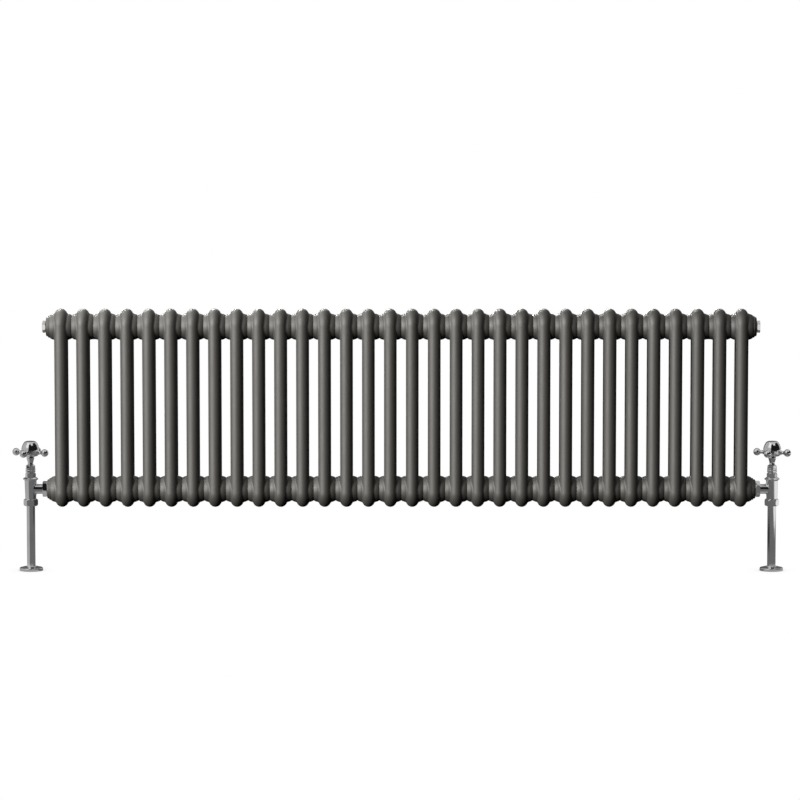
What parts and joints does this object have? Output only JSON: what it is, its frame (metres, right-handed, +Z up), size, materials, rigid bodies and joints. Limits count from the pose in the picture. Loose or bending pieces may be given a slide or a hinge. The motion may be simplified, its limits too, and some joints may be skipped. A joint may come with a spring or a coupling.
{
  "type": "radiator with valve",
  "caption": "Horizontal wall-hung two-column tubular steel radiator with angled crosshead valves, pipe sleeves and domed floor plates at both ends.",
  "frame": {"origin": "centre of the four wall screw holes, on the wall plane", "axes": "+X along the radiator to its right end seen from the room, +Y into the wall, +Z up"},
  "size_m": [1.6008, 0.1079, 0.541],
  "materials": {
    "anthracite_paint": "satin anthracite powder coat",
    "chrome_plate": "polished chrome plate",
    "brass": "turned brass",
    "rubber": "moulded nitrile rubber",
    "graphite_packing": "compressed graphite yarn"
  },
  "bodies": {
    "radiator": {"section_01": "anthracite_paint", "section_02": "anthracite_paint", "section_03": "anthracite_paint", "section_04": "anthracite_paint", "section_05": "anthracite_paint", "section_06": "anthracite_paint", "section_07": "anthracite_paint", "section_08": "anthracite_paint", "section_09": "anthracite_paint", "section_10": "anthracite_paint", "section_11": "anthracite_paint", "section_12": "anthracite_paint", "section_13": "anthracite_paint", "section_14": "anthracite_paint", "section_15": "anthracite_paint", "section_16": "anthracite_paint", "section_17": "anthracite_paint", "section_18": "anthracite_paint", "section_19": "anthracite_paint", "section_20": "anthracite_paint", "section_21": "anthracite_paint", "section_22": "anthracite_paint", "section_23": "anthracite_paint", "section_24": "anthracite_paint", "section_25": "anthracite_paint", "section_26": "anthracite_paint", "section_27": "anthracite_paint", "section_28": "anthracite_paint", "section_29": "anthracite_paint", "section_30": "anthracite_paint", "section_31": "anthracite_paint", "section_32": "anthracite_paint", "end_bosses": "anthracite_paint", "hanger_lugs": "anthracite_paint", "wall_brackets": "anthracite_paint", "lower_stays": "anthracite_paint", "blanking_plug": "chrome_plate", "vent_plug": "chrome_plate", "left_valve_body": "chrome_plate", "right_valve_body": "chrome_plate", "tailpieces": "chrome_plate", "union_nuts": "chrome_plate", "compression_nuts": "chrome_plate", "bonnets": "chrome_plate", "gland_nuts": "chrome_plate", "pipe_sleeves": "chrome_plate", "olives": "brass", "plug_seals": "rubber", "gland_packings": "graphite_packing"},
    "left_jumper": {"left_jumper": "brass", "left_washer": "rubber"},
    "left_handle": {"left_spindle": "brass", "left_crosshead": "chrome_plate"},
    "left_floor_plate": {"left_floor_plate": "chrome_plate"},
    "right_jumper": {"right_jumper": "brass", "right_washer": "rubber"},
    "right_handle": {"right_spindle": "brass", "right_crosshead": "chrome_plate"},
    "right_floor_plate": {"right_floor_plate": "chrome_plate"},
    "bleed_screw": {"bleed_screw": "brass"}
  },
  "joints": [
    {"name": "left_valve_lift", "type": "slide", "parent": "radiator", "child": "left_jumper", "axis": [0, 0, 1], "range_m": [0, 0.0045]},
    {"name": "left_valve_turn", "type": "hinge", "parent": "left_jumper", "child": "left_handle", "pos_m": [-0.7625, -0.07, -0.1455], "axis": [0, 0, 1], "range_deg": [0, 1080]},
    {"name": "left_floor_plate_slide", "type": "slide", "parent": "radiator", "child": "left_floor_plate", "axis": [0, 0, 1], "range_m": [0, 0.12]},
    {"name": "right_valve_lift", "type": "slide", "parent": "radiator", "child": "right_jumper", "axis": [0, 0, 1], "range_m": [0, 0.0045]},
    {"name": "right_valve_turn", "type": "hinge", "parent": "right_jumper", "child": "right_handle", "pos_m": [0.7625, -0.07, -0.1455], "axis": [0, 0, 1], "range_deg": [0, 1080]},
    {"name": "right_floor_plate_slide", "type": "slide", "parent": "radiator", "child": "right_floor_plate", "axis": [0, 0, 1], "range_m": [0, 0.12]},
    {"name": "bleed_screw_turn", "type": "hinge", "parent": "radiator", "child": "bleed_screw", "pos_m": [0.7354, -0.07, 0.1895], "axis": [1, 0, 0], "range_deg": [0, 360]}
  ],
  "couplings": [
    {"joint": "left_valve_lift", "follows": "left_valve_turn", "m_per_rad": 0.0002387},
    {"joint": "right_valve_lift", "follows": "right_valve_turn", "m_per_rad": 0.0002387}
  ]
}
